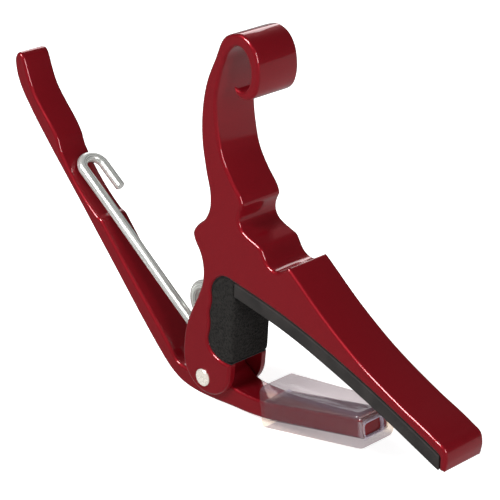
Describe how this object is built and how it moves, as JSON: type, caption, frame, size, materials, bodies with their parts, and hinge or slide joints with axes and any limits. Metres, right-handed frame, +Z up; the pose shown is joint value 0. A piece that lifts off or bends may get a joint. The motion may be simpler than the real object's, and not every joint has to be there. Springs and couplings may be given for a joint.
{
  "type": "guitar capo",
  "caption": "Spring-clamp guitar capo with a curled grip, an arched padded fretting bar, a bent lever with a sleeved jaw and a hooked torsion spring.",
  "frame": {"origin": "middle of the footprint on the table, at the foot of the bounding box", "axes": "+Z up from the table, +X along the table towards the tip of the fretting bar, Y along the pivot rivet"},
  "size_m": [0.1448, 0.0136, 0.0932],
  "materials": {
    "body_finish": "glossy burgundy coat on aluminium",
    "lever_finish": "glossy burgundy coat on aluminium",
    "rivet_nickel": "bright nickel",
    "spring_wire": "bright plated steel wire",
    "pad_rubber": "matt charcoal rubber",
    "foam": "black cellular foam",
    "film": "adhesive film",
    "sleeve_vinyl": "translucent milky vinyl"
  },
  "bodies": {
    "body": {"upper_body": "body_finish", "pivot_rivet_tube": "rivet_nickel", "pivot_rivet_plug": "rivet_nickel", "torsion_spring": "spring_wire", "fret_pad": "pad_rubber", "fret_pad_tape": "film", "foam_pad": "foam", "foam_tape": "film"},
    "lever": {"lever": "lever_finish", "jaw_sleeve": "sleeve_vinyl"}
  },
  "joints": [
    {"name": "lever_hinge", "type": "hinge", "parent": "lever", "child": "body", "pos_m": [-0.0022, 0, 0.0062], "axis": [0, -1, 0], "range_deg": [0, 32], "stiffness_Nm_per_rad": 2.2, "deforming": ["torsion_spring"]}
  ]
}
